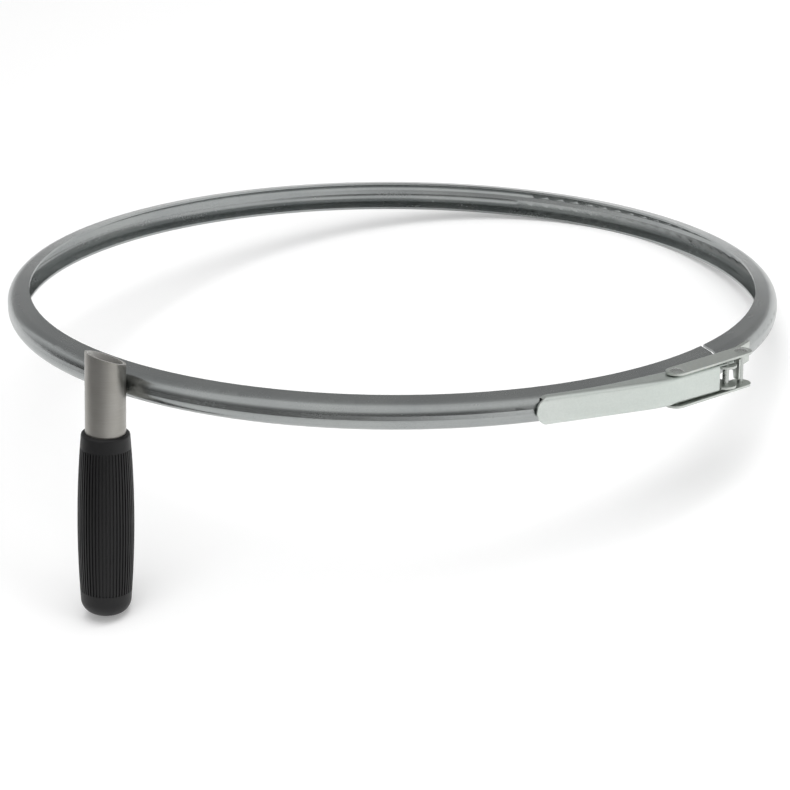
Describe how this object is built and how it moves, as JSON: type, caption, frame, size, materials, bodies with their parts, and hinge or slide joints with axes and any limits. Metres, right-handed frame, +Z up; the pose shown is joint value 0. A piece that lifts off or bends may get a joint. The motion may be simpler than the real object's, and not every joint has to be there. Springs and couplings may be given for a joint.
{
  "type": "bin bag holder",
  "caption": "Hand-held bin bag holder: a split channel hoop drawn shut over the bag's edge by an over-centre lever, with a ribbed handle.",
  "frame": {"origin": "middle of the bounding box, on the floor that the holder rests on", "axes": "+Z up from the floor; the handle stands at the front left, -X and -Y, and the hoop slopes down to the far right"},
  "size_m": [0.4242, 0.4222, 0.1444],
  "materials": {
    "clamp_hoop": "zinc-plated rolled strip",
    "handle_tube": "brushed, bare",
    "handle_grip": "black, ribbed",
    "hinge_bracket": "zinc-plated pressing",
    "catch_hook": "zinc-plated pressing",
    "closing_lever": "zinc-plated pressing",
    "pivot_pin": "zinc-plated",
    "upper_link": "zinc-plated pressing",
    "lower_link": "zinc-plated pressing",
    "link_rivets": "zinc-plated",
    "catch_pin": "zinc-plated"
  },
  "bodies": {
    "hoop": {"clamp_hoop": "clamp_hoop", "handle_tube": "handle_tube", "handle_grip": "handle_grip", "hinge_bracket": "hinge_bracket", "catch_hook": "catch_hook"},
    "lever": {"closing_lever": "closing_lever", "pivot_pin": "pivot_pin"},
    "links": {"upper_link": "upper_link", "lower_link": "lower_link", "link_rivets": "link_rivets", "catch_pin": "catch_pin"}
  },
  "joints": [
    {"name": "lever_swing", "type": "hinge", "parent": "hoop", "child": "lever", "pos_m": [0.17348, -0.14483, 0.06144], "axis": [0.1707, 0.1978, 0.9653], "range_deg": [0, 150]},
    {"name": "link_swing", "type": "hinge", "parent": "lever", "child": "links", "pos_m": [0.14671, -0.16441, 0.07019], "axis": [-0.1707, -0.1978, -0.9653], "range_deg": [0, 97.5]}
  ],
  "couplings": [
    {"joint": "link_swing", "follows": "lever_swing", "ratio": 0.65}
  ]
}
